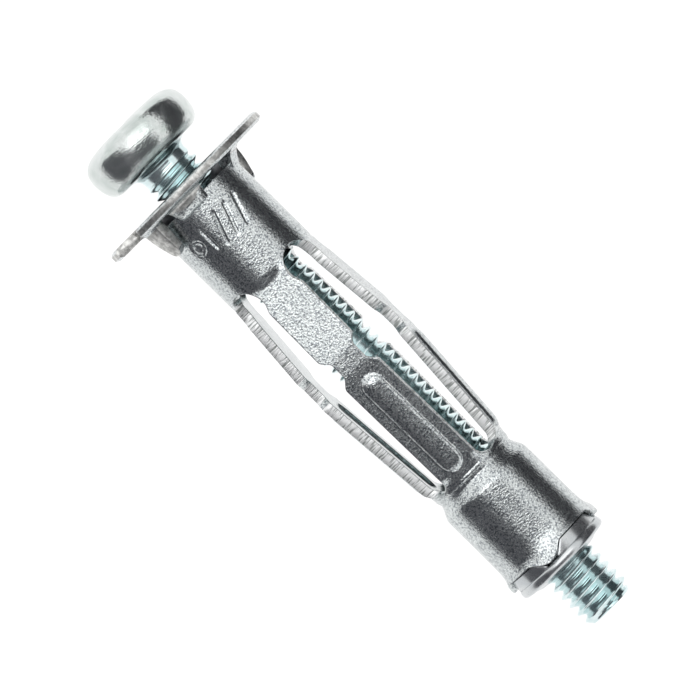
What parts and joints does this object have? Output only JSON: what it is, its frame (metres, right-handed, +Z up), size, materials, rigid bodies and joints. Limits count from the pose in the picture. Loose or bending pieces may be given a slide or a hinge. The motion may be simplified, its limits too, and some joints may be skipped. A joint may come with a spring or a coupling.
{
  "type": "wall anchor",
  "caption": "Expanding sheet-metal sleeve anchor for hollow walls: collar with teeth, four folding legs, captive nut and pan head screw.",
  "frame": {"origin": "centre of the collar's seat on the wall, on the screw's axis", "axes": "+Y along the screw, into the wall; +Z up, through the middle of the top leg; +X to the right seen from the room"},
  "size_m": [0.0128, 0.0432, 0.0128],
  "materials": {
    "sleeve_zinc": "bright zinc plated sheet, grainy",
    "nut_zinc": "bright zinc plated, satin",
    "screw_zinc": "bright blue passivated zinc"
  },
  "bodies": {
    "collar": {"sleeve_collar": "sleeve_zinc"},
    "near_top": {"leg_top_near": "sleeve_zinc"},
    "far_top": {"leg_top_far": "sleeve_zinc"},
    "near_right": {"leg_right_near": "sleeve_zinc"},
    "far_right": {"leg_right_far": "sleeve_zinc"},
    "near_bottom": {"leg_bottom_near": "sleeve_zinc"},
    "far_bottom": {"leg_bottom_far": "sleeve_zinc"},
    "near_left": {"leg_left_near": "sleeve_zinc"},
    "far_left": {"leg_left_far": "sleeve_zinc"},
    "nut_end": {"sleeve_tail": "sleeve_zinc", "nut": "nut_zinc"},
    "screw": {"screw": "screw_zinc"}
  },
  "joints": [
    {"name": "screw_turn", "type": "hinge", "parent": "collar", "child": "screw", "pos_m": [0, 0, 0], "axis": [0, 1, 0], "continuous": true},
    {"name": "nut_travel", "type": "slide", "parent": "collar", "child": "nut_end", "axis": [0, -1, 0], "range_m": [0, 0.00895]},
    {"name": "root_fold_top", "type": "hinge", "parent": "collar", "child": "near_top", "pos_m": [0, 0.0073, 0.00324], "axis": [1, 0, 0], "range_deg": [0, 80.1]},
    {"name": "elbow_fold_top", "type": "hinge", "parent": "near_top", "child": "far_top", "pos_m": [0, 0.01453, 0.00318], "axis": [-1, 0, 0], "range_deg": [0, 125.2]},
    {"name": "root_fold_right", "type": "hinge", "parent": "collar", "child": "near_right", "pos_m": [0.00324, 0.0073, 0], "axis": [0, 0, -1], "range_deg": [0, 80.1]},
    {"name": "elbow_fold_right", "type": "hinge", "parent": "near_right", "child": "far_right", "pos_m": [0.00318, 0.01453, 0], "axis": [0, 0, 1], "range_deg": [0, 125.2]},
    {"name": "root_fold_bottom", "type": "hinge", "parent": "collar", "child": "near_bottom", "pos_m": [0, 0.0073, -0.00324], "axis": [-1, 0, 0], "range_deg": [0, 80.1]},
    {"name": "elbow_fold_bottom", "type": "hinge", "parent": "near_bottom", "child": "far_bottom", "pos_m": [0, 0.01453, -0.00318], "axis": [1, 0, 0], "range_deg": [0, 125.2]},
    {"name": "root_fold_left", "type": "hinge", "parent": "collar", "child": "near_left", "pos_m": [-0.00324, 0.0073, 0], "axis": [0, 0, 1], "range_deg": [0, 80.1]},
    {"name": "elbow_fold_left", "type": "hinge", "parent": "near_left", "child": "far_left", "pos_m": [-0.00318, 0.01453, 0], "axis": [0, 0, -1], "range_deg": [0, 125.2]}
  ],
  "couplings": [
    {"joint": "root_fold_top", "follows": "nut_travel", "rad_per_m": 155.96},
    {"joint": "elbow_fold_top", "follows": "nut_travel", "rad_per_m": 243.72},
    {"joint": "root_fold_right", "follows": "nut_travel", "rad_per_m": 155.96},
    {"joint": "elbow_fold_right", "follows": "nut_travel", "rad_per_m": 243.72},
    {"joint": "root_fold_bottom", "follows": "nut_travel", "rad_per_m": 155.96},
    {"joint": "elbow_fold_bottom", "follows": "nut_travel", "rad_per_m": 243.72},
    {"joint": "root_fold_left", "follows": "nut_travel", "rad_per_m": 155.96},
    {"joint": "elbow_fold_left", "follows": "nut_travel", "rad_per_m": 243.72}
  ]
}
